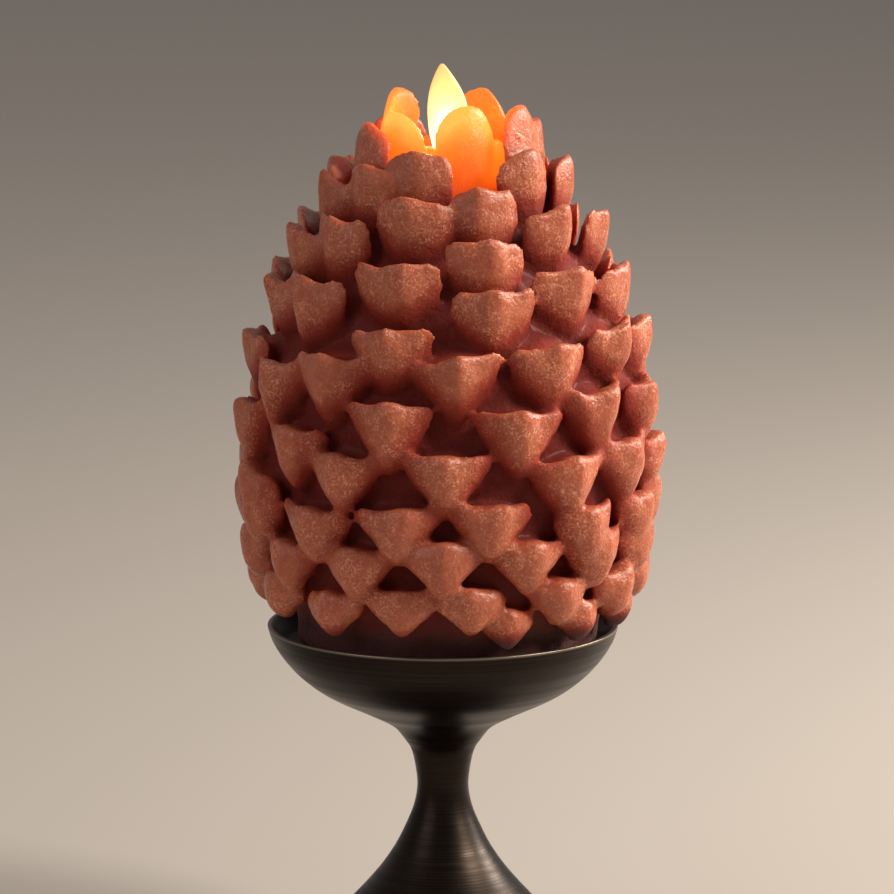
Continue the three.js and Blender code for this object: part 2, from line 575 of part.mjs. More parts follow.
function makeFlame() {
  const pinRadius = 0.5;
  const pin = rod(pinRadius, -NECK_TUBE_RADIUS + LINER_WALL + GAP, NECK_TUBE_RADIUS - LINER_WALL - GAP, 10);
  place(candle, "hanger_pin", pin, STEEL, [0, 0, FLAME_PIVOT], [Math.PI / 2, 0, 0]);

  // leaf outline in X and Z: a teardrop above the cap, a straight tail below it
  const half = FLAME_HALF_WIDTH;
  const tail = 2.4;
  const tailBottom = FLAME_PIVOT - 13;
  const shape = new THREE.Shape();
  shape.moveTo(-tail, tailBottom);
  shape.lineTo(tail, tailBottom);
  shape.lineTo(tail, FLAME_PIVOT + 4);
  shape.bezierCurveTo(half * 0.8, FLAME_PIVOT + 9, half * 1.15, FLAME_PIVOT + 17, half * 0.86, FLAME_PIVOT + 22);
  shape.bezierCurveTo(half * 0.7, FLAME_PIVOT + 27, half * 0.1, FLAME_TOP - 3, -0.6, FLAME_TOP);
  shape.bezierCurveTo(-half * 0.45, FLAME_TOP - 4, -half * 0.9, FLAME_PIVOT + 27, -half * 0.95, FLAME_PIVOT + 21);
  shape.bezierCurveTo(-half * 1.1, FLAME_PIVOT + 16, -half * 0.8, FLAME_PIVOT + 9, -tail, FLAME_PIVOT + 4);
  shape.lineTo(-tail, tailBottom);
  shape.holes.push(hole(pinRadius + GAP + 0.1, 0, FLAME_PIVOT));
  const leaf = new THREE.ExtrudeGeometry(shape, { depth: LEAF_THICKNESS, bevelEnabled: false, curveSegments: 6 });
  leaf.translate(0, 0, -LEAF_THICKNESS / 2).rotateX(Math.PI / 2);
  place(candle, "flame", leaf, FLAME);
  const magnetTop = tailBottom - GAP;
  place(candle, "flame_magnet", rod(3, magnetTop - MAGNET_LENGTH, magnetTop, 16), MAGNET);
}

makeHolder();
makeWax();
makeLiner();
makeUnderside();
makeSwitch();
makeCells();
makeElectronics();
makeFlame();

export default object;
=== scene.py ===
import json
import math

import bmesh
import bpy
import numpy as np
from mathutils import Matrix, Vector, noise


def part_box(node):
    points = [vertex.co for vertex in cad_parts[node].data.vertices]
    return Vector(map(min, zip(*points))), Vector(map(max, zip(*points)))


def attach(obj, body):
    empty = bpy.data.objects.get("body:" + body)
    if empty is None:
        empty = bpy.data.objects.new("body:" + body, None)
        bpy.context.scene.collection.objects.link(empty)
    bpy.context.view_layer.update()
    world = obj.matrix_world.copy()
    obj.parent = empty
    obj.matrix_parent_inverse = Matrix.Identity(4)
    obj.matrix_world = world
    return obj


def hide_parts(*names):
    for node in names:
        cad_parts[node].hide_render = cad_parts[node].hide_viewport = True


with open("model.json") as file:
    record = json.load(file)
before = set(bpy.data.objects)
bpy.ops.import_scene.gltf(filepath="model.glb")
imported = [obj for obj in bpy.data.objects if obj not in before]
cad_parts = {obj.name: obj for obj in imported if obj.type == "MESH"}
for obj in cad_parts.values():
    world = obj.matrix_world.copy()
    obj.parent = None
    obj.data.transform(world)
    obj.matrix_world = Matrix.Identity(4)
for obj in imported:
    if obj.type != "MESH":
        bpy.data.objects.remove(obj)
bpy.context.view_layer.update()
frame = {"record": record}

# Pedestal holder with a pinecone LED candle, in the frame of the CAD part: +Z up, -Y front. Blender's
# lengths are metres; shapes are worked out in millimetres and multiplied by MM where they become meshes.
MM = 0.001

# ---------------------------------------------------------------- places that come from the frame

DISH_LOW, DISH_HIGH = (Vector(c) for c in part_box("dish"))
WAX_LOW = Vector(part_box("wax_cone")[0])
CAP_LOW, CAP_HIGH = (Vector(c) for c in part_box("well_cap"))
LEAF_LOW, LEAF_HIGH = (Vector(c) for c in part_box("flame"))
PAD_HIGH = Vector(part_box("base_pad")[1])
STEM_LOW, STEM_HIGH = (Vector(c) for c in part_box("pedestal"))
RIM = DISH_HIGH.z / MM  # height of the dish's rim, in millimetres as the next ones are
DISH_FLOOR = RIM - 6
AXIS_X = (CAP_LOW.x + CAP_HIGH.x) / 2 / MM  # the candle's axis stands a little right of the holder's
LEAF_TOP = LEAF_HIGH.z / MM
LIT_LENGTH = 30  # of the leaf, down from its tip
WAX_BOTTOM = WAX_LOW.z / MM

# ---------------------------------------------------------------- the wax cone's driving dimensions

# rows of scales, bottom first: tip height above the rim, scales in a full turn, azimuth of the first
# (0 is the front, positive to the right), how many are present, and the listed unevenness of the
# first ones as (azimuth shift, lift, shift outwards, widening), of which the last two may be left out
ROWS = [
    (13, 13, 20, 9, ()),
    (19, 14, -65, 14, ((0, 0), (0, -2), (-1, 0), (-5, 1), (-1, 2), (0, 2))),
    (32, 14, -55, 14, ((0, -2), (1, -1), (2, 2), (2, 1))),
    (42, 13, -70, 13, ((0, -1), (0, -1), (0, 1), (-1, 2), (3, -1))),
    (57, 11, -65, 11, ((-7, -8), (0, 0), (-1, 1), (4, -1), (-4, 1), (-6, -3))),
    (71, 11, -84, 11, ((4, -5), (1, -8), (1, 2), (7, -1), (2, 3), (-2, 1))),
    (86, 11, -97, 11, ((8, -2), (2, -6), (-7, -1), (2, 0), (-1, 2), (-3, 4), (-8, 2))),
    (103, 11, -83, 11, ((7, -1), (-3, 2), (-1, -10), (1, 1), (0, 5), (2, 2))),
    (118, 10, -90, 10, ((14, -1), (4, 4), (-1, -7), (-3, 0), (-3, 7), (3, 1))),
    (132, 10, -88, 10, ((12, 1), (8, 5), (0, -3), (-3, 0), (-5, 9), (3, 4))),
    (147, 6, 99, 5, ((0, 0), (0, 0), (0, 0), (14, 1), (2, -5))),
    (154, 5, 17, 5, ((0, 0), (-20, -1, 4.5, 1.25), (-14, 1, 1), (2, 2, 0.5), (0, -3, -3.4))),
]

# shape of a scale by the height of its tip above the rim, in millimetres unless it says otherwise:
# taper is 1 for a V and 0 for straight sides, foot is the share of the width left at the root, horn and
# peak are the strengths of the lip's side lobes and middle lobe, and round is how far its corners go
STATIONS = {
    "height": (0, 13, 19, 32, 42, 57, 71, 86, 103, 118, 134, 147, 154),
    "radius": (48, 54.5, 57.5, 60.5, 62, 62, 61.5, 58.5, 53, 46.5, 37, 27, 18.5),  # of the tip
    "drop": (13, 13, 14.5, 16.5, 17.5, 19, 22, 25.5, 29, 31, 31, 30, 28),  # from the tip down to the root
    "stand": (5.5, 5.5, 6, 6.5, 7, 7.5, 8.5, 10, 11, 11.5, 10, 7, 2),  # from the root out to the tip
    "lean": (12, 12, 11, 10, 10, 10, 11, 12, 12, 12, 8, -2, -4),  # of the lip outwards, degrees
    "width": (19, 22.5, 26, 27.5, 28.5, 29, 29.5, 30.5, 31, 30, 26.5, 25.5, 20.5),
    "taper": (0.75, 0.75, 0.8, 0.82, 0.85, 0.88, 0.88, 0.85, 0.75, 0.66, 0.52, 0.35, 0.2),
    "foot": (0.24, 0.24, 0.24, 0.22, 0.21, 0.2, 0.2, 0.21, 0.24, 0.27, 0.32, 0.4, 0.6),
    "plate": (7, 7, 7.5, 8, 8, 8, 7.5, 6.5, 5.6, 5.2, 5, 5, 5.4),  # thickness at the lip
    "root": (16, 16, 17, 18, 18, 18, 17, 15, 12, 10, 9, 7, 5),  # thickness at the root
    "cup": (4.6, 4.8, 5, 5.4, 5.6, 5.8, 5.8, 5.8, 5.8, 5.6, 5, 4, 3.4),  # how far the sides stand back
    "horn": (0.4, 0.6, 0.8, 1, 1.2, 1.4, 1.5, 1.5, 1.4, 1.2, 0.7, 0.2, 0),
    "peak": (0.5, 0.6, 0.8, 1.1, 1.3, 1.6, 1.8, 2, 2, 1.8, 1.3, 0.6, 0.2),
    "round": (0.8, 0.7, 0.6, 0.4, 0.25, 0.15, 0.15, 0.25, 0.35, 0.45, 0.6, 0.8, 0.8),
}
LEDGED_BELOW = 92  # scales with lower tips have a ledge of wax behind the lip

# plain wax under the scales: height above the rim and radius
CORE = ((1.5, 43.5), (6, 44.5), (16, 48), (34, 51.5), (55, 52.8), (80, 49.5), (103, 40.5), (115, 33),
        (124, 26), (130, 20.5), (136, 17.5), (141, 16))

CAST_GRID, QUICK_GRID = 0.95, 1.5  # of the remesh that joins the scales to the core, full and quick
MOST_TRIANGLES = 190000


def station(height):
    """Shape values for a scale whose tip is at this height above the rim."""
    heights = STATIONS["height"]
    return {key: float(np.interp(height, heights, values)) for key, values in STATIONS.items()}


# ---------------------------------------------------------------- mesh helpers

def new_object(name, verts, faces, smooth=True):
    mesh = bpy.data.meshes.new(name)
    mesh.from_pydata([tuple(v) for v in verts], [], [tuple(f) for f in faces])
    mesh.update()
    obj = bpy.data.objects.new(name, mesh)
    bpy.context.scene.collection.objects.link(obj)
    if smooth:
        mesh.polygons.foreach_set("use_smooth", [True] * len(mesh.polygons))
    return obj


def apply_modifiers(obj):
    """Bakes the object's modifiers into its mesh."""
    graph = bpy.context.evaluated_depsgraph_get()
    made = bpy.data.meshes.new_from_object(obj.evaluated_get(graph))
    old = obj.data
    obj.modifiers.clear()
    obj.data = made
    made.name = obj.name
    bpy.data.meshes.remove(old)


def loft_faces(rings, around, closed_ends=True):
    """Quads between rings of points, with a fan-like face at each end."""
    faces = []
    for k in range(rings - 1):
        for i in range(around):
            j = (i + 1) % around
            faces.append((k * around + i, k * around + j, (k + 1) * around + j, (k + 1) * around + i))
    if closed_ends:
        faces.append(tuple(range(around - 1, -1, -1)))
        faces.append(tuple((rings - 1) * around + i for i in range(around)))
    return faces


def turned(name, profile, segments=160, centre=(0, 0)):
    """Lathe of a closed (radius, height) outline; points on the axis become one vertex."""
    verts, rings = [], []
    for r, z in profile:
        if r < 1e-6:
            rings.append([len(verts)] * segments)
            verts.append((centre[0] * MM, centre[1] * MM, z * MM))
            continue
        first = len(verts)
        for i in range(segments):
            a = 2 * math.pi * i / segments
            x, y = centre[0] + r * math.cos(a), centre[1] + r * math.sin(a)
            verts.append((x * MM, y * MM, z * MM))
        rings.append([first + i for i in range(segments)])
    faces = []
    count = len(profile)
    last = count if profile[0][0] > 1e-6 else count - 1
    for k in range(last):
        low, high = rings[k], rings[(k + 1) % count]
        for i in range(segments):
            j = (i + 1) % segments
            face = []
            for index in (low[i], low[j], high[j], high[i]):
                if index not in face:
                    face.append(index)
            if len(face) > 2:
                faces.append(face)
    piece = new_object(name, verts, faces)
    piece.data.set_sharp_from_angle(angle=math.radians(40))
    return piece


def spline(points, steps):
    """Smooth outline through points, as a Catmull-Rom curve."""
    pts = [np.array(p, float) for p in points]
    pts = [2 * pts[0] - pts[1], *pts, 2 * pts[-1] - pts[-2]]
    out = []
    for k in range(1, len(pts) - 2):
        p0, p1, p2, p3 = pts[k - 1:k + 3]
        for t in np.linspace(0, 1, steps, endpoint=False):
            out.append(0.5 * (2 * p1 + (p2 - p0) * t + (2 * p0 - 5 * p1 + 4 * p2 - p3) * t * t
                              + (3 * p1 - p0 - 3 * p2 + p3) * t ** 3))
    out.append(pts[-2])
    return [tuple(p) for p in out]


def rounded(before, corner, after, radius, steps=5):
    """Points of a small round that takes a corner of an outline off."""
    b, c, a = (np.array(p, float) for p in (before, corner, after))
    start = c + (b - c) / np.linalg.norm(b - c) * radius
    end = c + (a - c) / np.linalg.norm(a - c) * radius
    along = np.linspace(0, 1, steps)
    return [tuple((1 - t) ** 2 * start + 2 * t * (1 - t) * c + t * t * end) for t in along]


# ---------------------------------------------------------------- material helpers

class Nodes:
    """Short way to add and link shader nodes."""

    def __init__(self, name):
        self.material = bpy.data.materials.new(name)
        self.material.use_nodes = True
        self.tree = self.material.node_tree
        self.shader = self.tree.nodes["Principled BSDF"]

    def add(self, kind, inputs=None, **settings):
        node = self.tree.nodes.new(kind)
        for key, value in settings.items():
            setattr(node, key, value)
        for key, value in (inputs or {}).items():
            if isinstance(value, bpy.types.NodeSocket):
                self.tree.links.new(value, node.inputs[key])
            else:
                node.inputs[key].default_value = value
        return node

    def set(self, **values):
        for key, value in values.items():
            socket = self.shader.inputs[key.replace("_", " ")]
            if isinstance(value, bpy.types.NodeSocket):
                self.tree.links.new(value, socket)
            else:
                socket.default_value = value

    def place(self):
        return self.add("ShaderNodeTexCoord").outputs["Object"]

    def height(self, vector):
        return self.add("ShaderNodeSeparateXYZ", {"Vector": vector}).outputs["Z"]

    def stretched(self, vector, scale):
        return self.add("ShaderNodeMapping", {"Vector": vector, "Scale": scale}).outputs["Vector"]

    def noise(self, vector, scale, detail=3.0, roughness=0.5):
        inputs = {"Vector": vector, "Scale": scale, "Detail": detail, "Roughness": roughness}
        return self.add("ShaderNodeTexNoise", inputs).outputs["Fac"]

    def ramp(self, factor, stops):
        node = self.add("ShaderNodeValToRGB", {"Fac": factor})
        ramp = node.color_ramp
        while len(ramp.elements) < len(stops):
            ramp.elements.new(0.5)
        for element, (position, colour) in zip(ramp.elements, stops):
            element.position = position
            element.color = colour if len(colour) == 4 else (*colour, 1)
        return node.outputs["Color"]

    def grey(self, factor, low, high, start=0.0, end=1.0):
        """A value that runs from low to high while the factor runs from start to end."""
        inputs = {"Value": factor, "From Min": start, "From Max": end, "To Min": low, "To Max": high}
        return self.add("ShaderNodeMapRange", inputs).outputs["Result"]

    def mix(self, factor, first, second):
        node = self.add("ShaderNodeMix", data_type="RGBA")
        # a colour mix has its factor on socket 0 and its two colours on sockets 6 and 7
        for socket, value in ((node.inputs[0], factor), (node.inputs[6], first), (node.inputs[7], second)):
            if isinstance(value, bpy.types.NodeSocket):
                self.tree.links.new(value, socket)
            else:
                socket.default_value = value if isinstance(value, float) else (*value, 1)
        return node.outputs[2]

    def maths(self, operation, first, second=0.0):
        node = self.add("ShaderNodeMath", operation=operation)
        for socket, value in zip(node.inputs, (first, second)):
            if isinstance(value, bpy.types.NodeSocket):
                self.tree.links.new(value, socket)
            else:
                socket.default_value = value
        return node.outputs[0]

    def attribute(self, name):
        return self.add("ShaderNodeAttribute", attribute_name=name).outputs["Fac"]

    def bump(self, height, strength, distance, after=None):
        inputs = {"Height": height, "Strength": strength, "Distance": distance}
        if after is not None:
            inputs["Normal"] = after
        return self.add("ShaderNodeBump", inputs).outputs["Normal"]


# ---------------------------------------------------------------- materials

def wax_material():
    """Frosted, translucent terracotta wax: lips paled by a painted highlight, valleys turned deep red and
    the low skirt dark purple-brown by painted shade, and an amber glow.
    """
    n = Nodes("wax")
    place = n.place()
    hollow = n.attribute("hollow")  # 0 on the lips, 1 in the deepest valleys
    glow = n.attribute("glow")  # 0 away from the flame, 1 beside it
    cloud = n.noise(place, 90, 4, 0.55)
    grain = n.noise(place, 1500, 2, 0.6)
    frost = n.noise(place, 420, 3, 0.6)

    body = n.ramp(cloud, [(0.3, (0.31, 0.052, 0.022)), (0.7, (0.41, 0.088, 0.038))])
    # painted highlight: the lips, where hollow is near 0, are mixed towards a paler colour
    lips = n.mix(n.grey(hollow, 0.5, 0.0, 0.0, 0.14), body, (0.48, 0.145, 0.074))
    # painted shade: darker, deeper red towards the bottom of the valleys between the scales
    valley_shade = n.mix(n.grey(hollow, 0.0, 1.0, 0.08, 0.5), lips, (0.27, 0.024, 0.009))
    deep = n.mix(n.grey(hollow, 0.0, 1.0, 0.45, 1.0), valley_shade, (0.15, 0.008, 0.0035))
    speck = n.grey(grain, 0.0, 1.0, 0.45, 0.66)
    patch = n.maths("MULTIPLY", n.grey(frost, 0.1, 0.9, 0.38, 0.62), n.grey(hollow, 1.0, 0.05, 0.1, 0.6))
    patch = n.maths("MULTIPLY", patch, n.grey(n.noise(place, 70, 2, 0.5), 0.35, 1.0, 0.38, 0.6))
    frosted = n.mix(n.maths("MULTIPLY", speck, patch), deep, (0.80, 0.36, 0.22))
    # painted shade: the skirt low down by the dish, where it lies deep under the scales, is darkened to
    # purple-brown
    skirt = n.grey(n.height(place), 1.0, 0.0, (RIM + 3) * MM, (RIM + 12) * MM)
    skirt = n.maths("MULTIPLY", skirt, n.grey(hollow, 0.0, 1.0, 0.2, 0.8))
    painted_skirt_shade = n.mix(skirt, frosted, (0.075, 0.022, 0.018))
    n.set(Base_Color=n.mix(n.grey(glow, 0.0, 0.8, 0.15, 0.7), painted_skirt_shade, (0.42, 0.09, 0.02)))
    n.set(Subsurface_Weight=0.6, Subsurface_Radius=(1.0, 0.25, 0.1), Subsurface_Scale=0.004)
    rough = n.maths("ADD", n.grey(frost, 0.22, 0.44, 0.3, 0.7), n.grey(hollow, 0.0, 0.5, 0.08, 0.4))
    n.set(Roughness=rough, IOR=1.39, Coat_Weight=0.05, Coat_Roughness=0.2)

    amber = n.ramp(glow, [(0.0, (0.8, 0.02, 0.0005)), (0.4, (1.0, 0.09, 0.003)),
                          (0.7, (1.0, 0.18, 0.010)), (0.88, (1.0, 0.31, 0.028)), (1.0, (1.0, 0.45, 0.06))])
    n.set(Emission_Color=amber, Emission_Strength=n.grey(glow, 0.0, 1.1, 0.08, 0.6))
    coarse = n.bump(n.noise(place, 230, 4, 0.6), 0.7, 0.0010)
    wrinkle = n.bump(n.noise(place, 640, 3, 0.65), 0.6, 0.0005, coarse)
    n.set(Normal=n.bump(grain, 0.4, 0.0003, wrinkle))
    return n.material


def bronze_material():
    """Satin blackened bronze with the fine rings that turning leaves, lighter along the lip with a painted
    highlight line and some edge wear.
    """
    n = Nodes("bronze")
    place = n.place()
    rings = n.noise(n.stretched(place, (14, 14, 2600)), 1.0, 3, 0.6)
    bands = n.noise(n.stretched(place, (6, 6, 420)), 1.0, 2, 0.5)
    cloud = n.noise(place, 35, 3, 0.5)
    dark = n.ramp(cloud, [(0.3, (0.010, 0.0055, 0.0035)), (0.7, (0.018, 0.011, 0.007))])
    turned_skin = n.mix(n.grey(rings, 0.0, 0.5, 0.45, 0.75), dark, (0.048, 0.033, 0.023))
    lip_highlight_and_wear = n.grey(n.height(place), 0.0, 1.0, (RIM - 0.9) * MM, (RIM - 0.3) * MM)  # the dish's lip: a painted highlight line, with some edge wear
    n.set(Base_Color=n.mix(lip_highlight_and_wear, turned_skin, (0.22, 0.18, 0.14)))
    n.set(Metallic=0.85, Roughness=n.grey(bands, 0.3, 0.44, 0.3, 0.7))
    n.set(Normal=n.bump(rings, 0.18, 0.0001))
    return n.material


def felt_material():
    n = Nodes("felt")
    place = n.place()
    fibre = n.noise(place, 1800, 5, 0.7)
    n.set(Base_Color=n.ramp(fibre, [(0.3, (0.008, 0.008, 0.008)), (0.75, (0.05, 0.048, 0.045))]))
    n.set(Roughness=0.95, Sheen_Weight=0.3, Normal=n.bump(fibre, 0.8, 0.0004))
    return n.material


def plastic_material(name, low, high, roughness, grain=900):
    """Moulded plastic with a fine spark-eroded grain."""
    n = Nodes(name)
    place = n.place()
    cloud = n.noise(place, 60, 2, 0.5)
    spark = n.noise(place, grain, 2, 0.6)
    n.set(Base_Color=n.ramp(cloud, [(0.3, low), (0.7, high)]))
    n.set(Roughness=n.grey(spark, roughness - 0.06, roughness + 0.08, 0.3, 0.7))
    n.set(Normal=n.bump(spark, 0.2, 0.0001))
    return n.material


def metal_material(name, low, high, roughness, stretch=(300, 300, 2400)):
    """Plated or drawn metal with fine lines."""
    n = Nodes(name)
    lines = n.noise(n.stretched(n.place(), stretch), 1.0, 3, 0.6)
    n.set(Base_Color=n.ramp(lines, [(0.3, low), (0.7, high)]), Metallic=1.0)
    n.set(Roughness=n.grey(lines, roughness - 0.06, roughness + 0.1, 0.3, 0.7))
    n.set(Normal=n.bump(lines, 0.1, 0.00005))
    return n.material


def flame_material():
    """Thin translucent leaf, white-hot where the lamp strikes it and yellow towards its tip."""
    n = Nodes("flame")
    place = n.place()
    along = n.grey(n.height(place), 0.0, 1.0, (LEAF_TOP - LIT_LENGTH) * MM, LEAF_TOP * MM)
    colour = n.ramp(along, [(0.0, (1.0, 0.60, 0.14)), (0.25, (1.0, 0.86, 0.50)), (0.45, (1.0, 0.76, 0.37)),
                            (0.8, (1.0, 0.61, 0.22)), (1.0, (1.0, 0.48, 0.12))])
    power = n.ramp(along, [(0.0, (0.75,) * 3), (0.22, (1.0,) * 3), (0.45, (0.5,) * 3), (1.0, (0.38,) * 3)])
    streak = n.grey(n.noise(n.stretched(place, (500, 500, 60)), 1.0, 2, 0.5), 0.94, 1.06, 0.3, 0.7)
    n.set(Base_Color=(0.5, 0.36, 0.16, 1), Roughness=0.4, Emission_Color=colour)
    n.set(Emission_Strength=n.maths("MULTIPLY", n.grey(power, 0.0, 2.1), streak))
    return n.material


def lens_material():
    n = Nodes("lens")
    cloud = n.noise(n.place(), 400, 2, 0.5)
    n.set(Base_Color=n.ramp(cloud, [(0.3, (0.9, 0.78, 0.5)), (0.7, (1.0, 0.9, 0.65))]), Roughness=0.12)
    n.set(Emission_Color=(1.0, 0.62, 0.2, 1), Emission_Strength=4.0)
    return n.material


def board_material():
    """Green solder mask with a faint pattern of tracks."""
    n = Nodes("board")
    inputs = {"Vector": n.place(), "Scale": 260.0}
    tracks = n.add("ShaderNodeTexVoronoi", inputs, distance="MANHATTAN").outputs["Distance"]
    n.set(Base_Color=n.ramp(tracks, [(0.42, (0.010, 0.10, 0.035)), (0.5, (0.03, 0.22, 0.08))]))
    n.set(Roughness=0.28, Normal=n.bump(tracks, 0.3, 0.0001))
    return n.material


def make_materials():
    ivory = plastic_material("white_plastic", (0.62, 0.56, 0.46), (0.70, 0.64, 0.54), 0.45)
    black = plastic_material("black_plastic", (0.014, 0.014, 0.016), (0.024, 0.024, 0.026), 0.45)
    return {
        "wax": wax_material(),
        "bronze": bronze_material(),
        "felt": felt_material(),
        "flame": flame_material(),
        "lens": lens_material(),
        "board": board_material(),
        "white_plastic": ivory,
        "black_plastic": black,
        "black_wire": plastic_material("black_wire", (0.016, 0.016, 0.016), (0.03, 0.03, 0.03), 0.35),
        "red_wire": plastic_material("red_wire", (0.35, 0.015, 0.012), (0.46, 0.02, 0.016), 0.35),
        "rubber": plastic_material("rubber", (0.02, 0.02, 0.02), (0.04, 0.04, 0.04), 0.8, 1500),
        "cell": metal_material("cell", (0.10, 0.11, 0.13), (0.15, 0.16, 0.18), 0.35, (60, 60, 300)),
        "steel": metal_material("steel", (0.50, 0.50, 0.49), (0.62, 0.62, 0.60), 0.28),
        "magnet": metal_material("magnet", (0.58, 0.58, 0.60), (0.70, 0.70, 0.70), 0.2),
        "copper": metal_material("copper", (0.42, 0.15, 0.06), (0.62, 0.26, 0.11), 0.3, (40, 40, 5000)),
    }


def dress_cad_nodes(materials):
    """Gives each CAD node that still shows the material of its slot in the record."""
    for row in frame["record"]["subparts"]:
        obj = bpy.data.objects.get(row["node"])
        if obj is None or obj.type != "MESH":
            continue
        obj.data.materials.clear()
        obj.data.materials.append(materials[row["material_slot"]])


# ---------------------------------------------------------------- holder

SPIGOT_BORE = 3.35  # radius of the bore through the dish and the pedestal for the spigot between them


def make_dish(materials):
    """Shallow bowl with a thin turned lip and a flat floor."""
    seam = DISH_LOW.z / MM
    radius = DISH_HIGH.x / MM
    bowl = spline([(11.35, seam - 0.27), (14.7, 70), (21.5, 73.8), (34.2, 80), (41.2, 85),
                   (46, 90), (49.3, 95), (radius - 0.25, RIM - 1.2)], 8)
    lip_out, lip_in = (radius, RIM), (radius - 1.3, RIM)
    floor_edge, centre = (45.8, DISH_FLOOR), (0, DISH_FLOOR)
    bore = [(0, DISH_FLOOR - 5), (SPIGOT_BORE, DISH_FLOOR - 5), (SPIGOT_BORE, seam + 0.3),
            (3.65, seam - 0.27)]
    profile = [*bore, *bowl, *rounded(bowl[-1], lip_out, lip_in, 0.45),
               *rounded(lip_out, lip_in, floor_edge, 0.35), *rounded(lip_in, floor_edge, centre, 1.2),
               (30, DISH_FLOOR), centre]
    dish = turned("dish_turned", profile)
    dish.data.materials.append(materials["bronze"])
    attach(dish, "root")
    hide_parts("dish")


def make_pedestal(materials):
    """Waisted stem that flares to a round foot."""
    top = STEM_HIGH.z / MM
    foot = STEM_HIGH.x / MM
    bottom = STEM_LOW.z / MM
    stem = spline([(11.35, top), (9.3, 63), (8.05, 58), (7.45, 52), (8.5, 46), (10.9, 40), (13.9, 34),
                   (17.9, 28), (22.9, 22), (28.6, 16), (35, 10), (41.5, 5.8), (foot - 0.5, 4.3)], 8)
    edge, sole, inner = (foot, 4), (foot, bottom), (foot - 3.2, bottom)
    recess = spline([(34, 6), (24, 14), (16.5, 22), (10.5, 24)], 5)  # hollow underside
    outline = [(SPIGOT_BORE, top), *stem,
               *rounded(stem[-1], edge, sole, 0.25), *rounded(edge, sole, inner, 0.3),
               inner, *recess, (SPIGOT_BORE, 24)]
    pedestal = turned("pedestal_turned", outline[::-1])
    pedestal.data.materials.append(materials["bronze"])
    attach(pedestal, "root")
    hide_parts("pedestal")


def make_pad(materials):
    radius = PAD_HIGH.x / MM
    top = PAD_HIGH.z / MM
    profile = [(0, 0), (radius * 0.5, 0), *rounded((0, 0), (radius, 0), (radius, top), 0.5),
               *rounded((radius, 0), (radius, top), (0, top), 0.4), (radius * 0.5, top), (0, top)]
    pad = turned("felt_pad", profile, 96)
    pad.data.materials.append(materials["felt"])
    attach(pad, "root")
    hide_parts("base_pad")


# ---------------------------------------------------------------- wax cone

SCALE_RINGS, SCALE_AROUND = 20, 32
LEDGE_RINGS, LEDGE_AROUND = 8, 24
HORN_AT, HORN_SPREAD = 0.78, 0.22  # a lip's side lobes, as shares of its half width
PEAK_SPREAD = 0.28  # its middle lobe


def bell(x, centre, spread):
    return np.exp(-((x - centre) / spread) ** 2)


def scale_points(azimuth, tip_height, outward, wider, random):
    """Rings of points of one scale: a shield that rises from a narrow keel in the wall to a lobed lip.

    Along it s runs from 0 at the root to 1 at the lip; around it u is across (-1 to 1) and w is 1 on the
    outer face and -1 on the back.
    """
    shape = station(tip_height)
    turn, tilt, size, lobes, skew = random.normal(0, 1, 5)
    angle = math.radians(azimuth)
    out = np.array([math.sin(angle), -math.cos(angle), 0])
    side = np.array([math.cos(angle), math.sin(angle), 0])
    up = np.array([0, 0, 1.0])
    lean = math.radians(shape["lean"] + 2.5 * tilt)
    roll = math.radians(4.0 * turn)

    # the middle line of the outer face: out of the wall at the root, turning upright at the lip
    s = 1 - (1 - np.linspace(0, 1, SCALE_RINGS)) ** 1.5  # closer together towards the lip
    arc = s * math.pi / 2
    line_out = shape["stand"] * (np.sin(arc) - 1)
    line_up = -shape["drop"] * np.cos(arc)
    line_out, line_up = (line_out * math.cos(lean) + line_up * math.sin(lean),
                         line_up * math.cos(lean) - line_out * math.sin(lean))
    step_out, step_up = np.gradient(line_out), np.gradient(line_up)
    norm = np.hypot(step_out, step_up)
    along = (step_out / norm)[:, None, None] * out + (step_up / norm)[:, None, None] * up
    face = (step_up / norm)[:, None, None] * out - (step_out / norm)[:, None, None] * up
    line = line_out[:, None, None] * out + line_up[:, None, None] * up

    s = s[:, None]
    psi = np.linspace(0, 2 * math.pi, SCALE_AROUND, endpoint=False)[None, :]
    u = np.sign(np.cos(psi)) * np.abs(np.cos(psi)) ** 0.8
    w = np.sin(psi)

    rise = 1 - np.cos(s * math.pi / 2)  # 0 at the root's height, 1 at the lip's
    corner = np.sqrt(1 - 0.6 * shape["round"] * np.clip((rise - 0.5) / 0.5, 0, 1) ** 2)
    half_width = (shape["width"] * wider * (1 + 0.05 * size) / 2 * corner
                  * (shape["foot"] + (1 - shape["foot"]) * rise ** shape["taper"]))
    middle = 0.12 * skew
    horn = shape["horn"] * (1 + 0.3 * lobes)
    lobed = (1.5 * shape["peak"] * bell(u, middle, PEAK_SPREAD)
             + 1.9 * horn * bell(np.abs(u), HORN_AT, HORN_SPREAD))
    reach = (lobed - (1.4 + 2.2 * shape["round"]) * u ** 2 - (1 + shape["round"]) * u ** 8) * s ** 3
    end = np.sqrt(np.clip(1 - (np.clip(s - 0.86, 0, 1) / 0.14) ** 2, 0.02, 1))  # rounds the lip off
    thick = shape["plate"] + (shape["root"] - shape["plate"]) * (1 - s) ** 0.8
    thick = thick * end * (1 - 0.5 * u ** 2)
    # the face: a middle ridge between two flutes, a belly, and sides that stand back
    flutes = 0.6 * horn * bell(np.abs(u - middle), 0.48, 0.2)
    ridge = (0.7 * shape["peak"] * bell(u, middle, 0.24) - flutes) * s ** 3
    belly = 2.2 * np.sin(math.pi * s ** 1.3)
    cup = shape["cup"] * u ** 2 * (0.7 + 0.3 * s)
    depth = belly + ridge - cup + (w - 1) * thick / 2 - 1.2 * (1 - end)

    across = (u * half_width)[..., None] * side
    points = line + reach[..., None] * along + across + depth[..., None] * face
    points += math.tan(roll) * (u * half_width)[..., None] * up
    tip = out * (shape["radius"] + outward) + up * (RIM + tip_height)
    return (tip + points).reshape(-1, 3)


